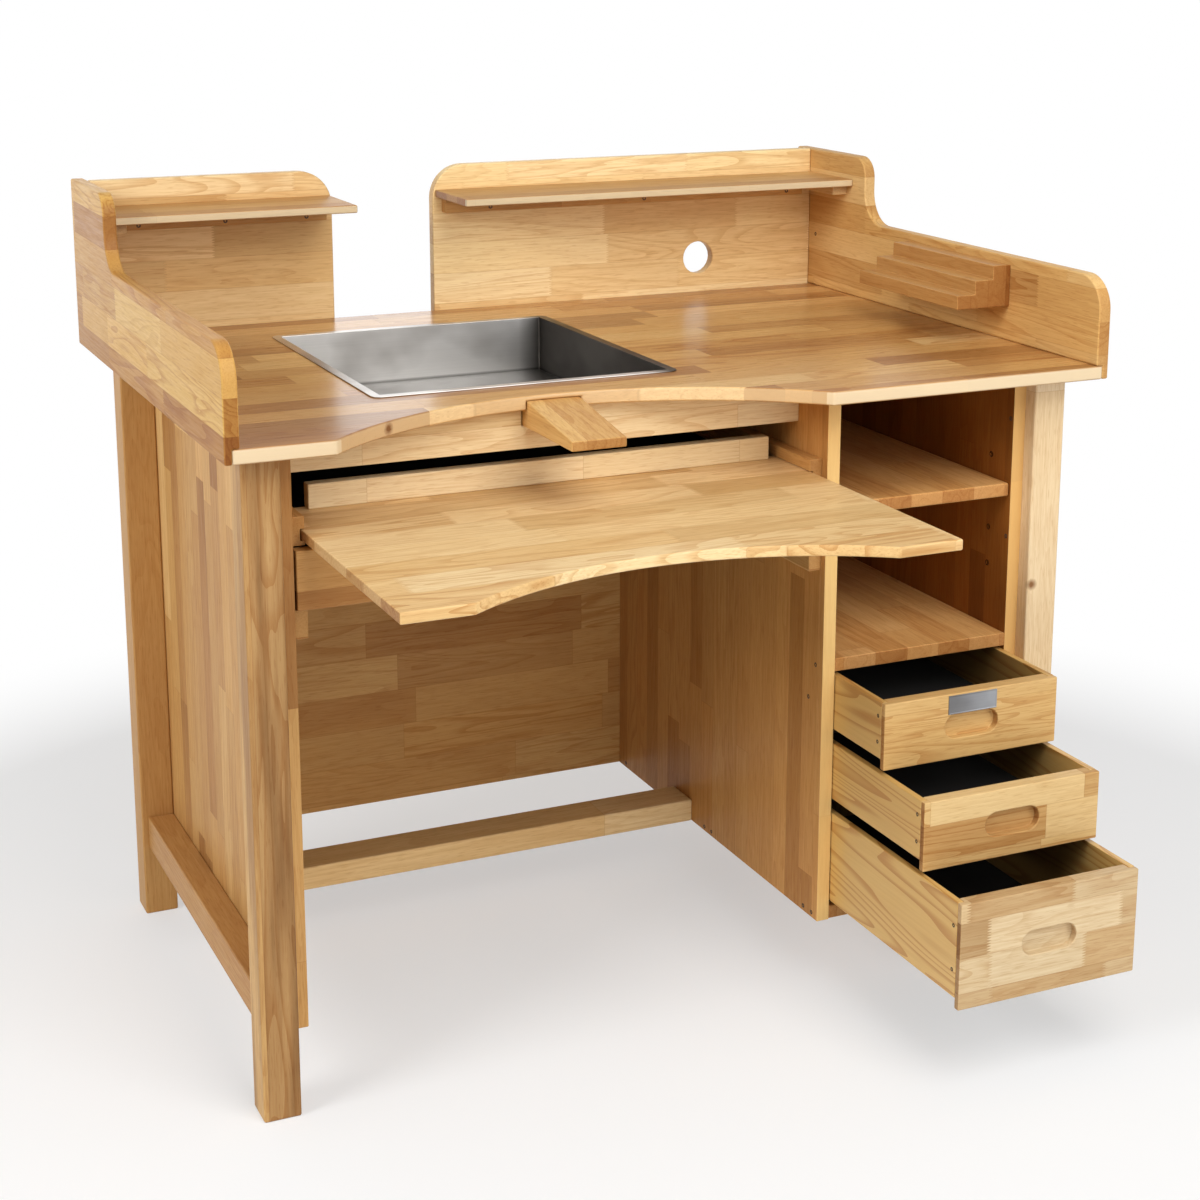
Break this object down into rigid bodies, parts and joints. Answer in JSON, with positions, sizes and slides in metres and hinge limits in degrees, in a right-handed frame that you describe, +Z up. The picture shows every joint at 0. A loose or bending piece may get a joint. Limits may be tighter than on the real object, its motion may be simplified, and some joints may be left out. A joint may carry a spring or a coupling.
{
  "type": "jewelers bench",
  "caption": "Hardwood jeweler's bench with a recessed worktop, steel pan, bench pin, sliding tray, sweep drawer, side cabinet with drawers, and raised wings with shelves.",
  "frame": {"origin": "on the floor, in the middle of the outline of the bench with its tray and drawers pulled out", "axes": "+X to the worker's right along the worktop, +Y to the back, +Z up"},
  "size_m": [1.308, 1.187, 1.18],
  "materials": {
    "honey_wood": "satin lacquer on golden finger-jointed hardwood",
    "pale_wood": "satin lacquer on pale golden finger-jointed hardwood",
    "pine": "clear lacquer on yellow pine",
    "black_lining": "matt black painted board",
    "brushed_steel": "brushed stainless sheet"
  },
  "bodies": {
    "bench": {"left_front_leg": "honey_wood", "left_back_leg": "honey_wood", "right_front_leg": "honey_wood", "right_back_leg": "honey_wood", "left_side_rail": "honey_wood", "right_side_rail": "honey_wood", "left_side_panel": "honey_wood", "cabinet_right_side": "honey_wood", "cabinet_partition": "honey_wood", "back_panel": "honey_wood", "foot_stretcher": "honey_wood", "worktop": "honey_wood", "left_wing": "honey_wood", "right_wing": "honey_wood", "left_shelf_cleat": "honey_wood", "right_shelf_cleat": "honey_wood", "tool_rack": "honey_wood", "left_tray_runner": "honey_wood", "right_tray_runner": "honey_wood", "left_sweep_runner": "honey_wood", "right_sweep_runner": "honey_wood", "cabinet_bottom": "honey_wood", "cabinet_fixed_shelf": "honey_wood", "lower_dust_board": "honey_wood", "middle_dust_board": "honey_wood", "upper_dust_board": "honey_wood", "apron": "pale_wood", "left_back_board": "pale_wood", "right_back_board": "pale_wood", "left_gallery_shelf": "pale_wood", "right_gallery_shelf": "pale_wood", "left_front_shelf_peg": "brushed_steel", "left_rear_shelf_peg": "brushed_steel", "right_front_shelf_peg": "brushed_steel", "right_rear_shelf_peg": "brushed_steel"},
    "tray": {"sliding_tray": "pale_wood", "tray_stop_board": "pale_wood"},
    "sweep_drawer": {"sweep_drawer_front": "honey_wood", "sweep_drawer_left_side": "pine", "sweep_drawer_right_side": "pine", "sweep_drawer_back": "pine", "sweep_drawer_bottom": "black_lining"},
    "upper_drawer": {"upper_drawer_front": "pale_wood", "upper_drawer_left_side": "pine", "upper_drawer_right_side": "pine", "upper_drawer_back": "pine", "upper_drawer_bottom": "black_lining"},
    "middle_drawer": {"middle_drawer_front": "pale_wood", "middle_drawer_left_side": "pine", "middle_drawer_right_side": "pine", "middle_drawer_back": "pine", "middle_drawer_bottom": "black_lining"},
    "lower_drawer": {"lower_drawer_front": "pale_wood", "lower_drawer_left_side": "pine", "lower_drawer_right_side": "pine", "lower_drawer_back": "pine", "lower_drawer_bottom": "black_lining"},
    "pin": {"bench_pin": "pale_wood"},
    "pan": {"steel_pan": "brushed_steel"},
    "shelf": {"loose_shelf": "honey_wood"}
  },
  "joints": [
    {"name": "tray_slide", "type": "slide", "parent": "bench", "child": "tray", "axis": [0, -1, 0], "range_m": [-0.371, 0.03]},
    {"name": "sweep_drawer_slide", "type": "slide", "parent": "bench", "child": "sweep_drawer", "axis": [0, -1, 0], "range_m": [0, 0.35]},
    {"name": "upper_drawer_slide", "type": "slide", "parent": "bench", "child": "upper_drawer", "axis": [0, -1, 0], "range_m": [-0.116, 0.3]},
    {"name": "middle_drawer_slide", "type": "slide", "parent": "bench", "child": "middle_drawer", "axis": [0, -1, 0], "range_m": [-0.225, 0.191]},
    {"name": "lower_drawer_slide", "type": "slide", "parent": "bench", "child": "lower_drawer", "axis": [0, -1, 0], "range_m": [-0.323, 0.093]},
    {"name": "pin_slide", "type": "slide", "parent": "bench", "child": "pin", "axis": [0, -1, 0], "range_m": [0, 0.045]},
    {"name": "shelf_slide", "type": "slide", "parent": "bench", "child": "shelf", "axis": [0, -1, 0], "range_m": [0, 0.3]},
    {"name": "pan_lift", "type": "slide", "parent": "bench", "child": "pan", "axis": [0, 0, 1], "range_m": [0, 0.12]}
  ]
}
